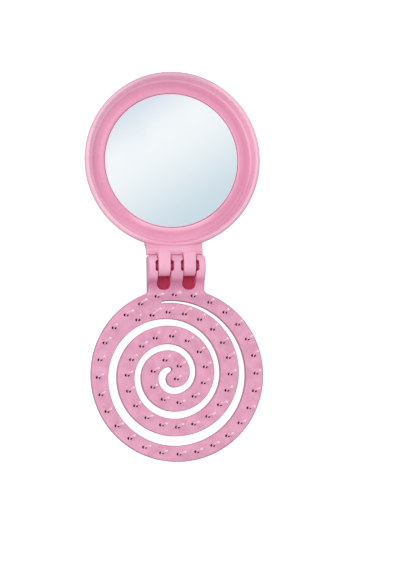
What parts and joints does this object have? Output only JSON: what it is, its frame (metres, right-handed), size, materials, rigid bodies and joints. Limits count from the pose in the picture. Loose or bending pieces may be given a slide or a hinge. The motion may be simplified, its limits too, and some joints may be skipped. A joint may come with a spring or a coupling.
{
  "type": "folding hairbrush with mirror",
  "caption": "Folding pocket hairbrush: a round mirror head and a spiral-slotted bristle disc joined by a pin hinge, shown opened flat.",
  "frame": {"origin": "centre of the opened brush's footprint, on the surface that the mirror head's back rests on", "axes": "+X along the hinge pin, +Y from the brush head to the mirror head, +Z out of the mirror face and along the bristles"},
  "size_m": [0.067, 0.148, 0.0211],
  "materials": {
    "pink_plastic": "satin-gloss moulded pink plastic",
    "pink_plastic_frame": "satin moulded pink plastic, slightly mottled",
    "mirror_silver": "silvered glass",
    "adhesive_pad": "white foam adhesive pad",
    "bristle_nylon": "pale pink nylon",
    "pin_plastic": "dark pink moulded plastic",
    "burgundy_plastic": "satin burgundy plastic"
  },
  "bodies": {
    "mirror_half": {"mirror_shell": "pink_plastic", "mirror_glass": "mirror_silver", "mirror_tape": "adhesive_pad"},
    "brush_half": {"brush_frame": "pink_plastic_frame", "bristles": "bristle_nylon", "hinge_pin": "pin_plastic", "hinge_rear_cover": "burgundy_plastic"}
  },
  "joints": [
    {"name": "fold", "type": "hinge", "parent": "mirror_half", "child": "brush_half", "pos_m": [0, -0.0004, 0.013], "axis": [-1, 0, 0], "range_deg": [0, 180]}
  ]
}
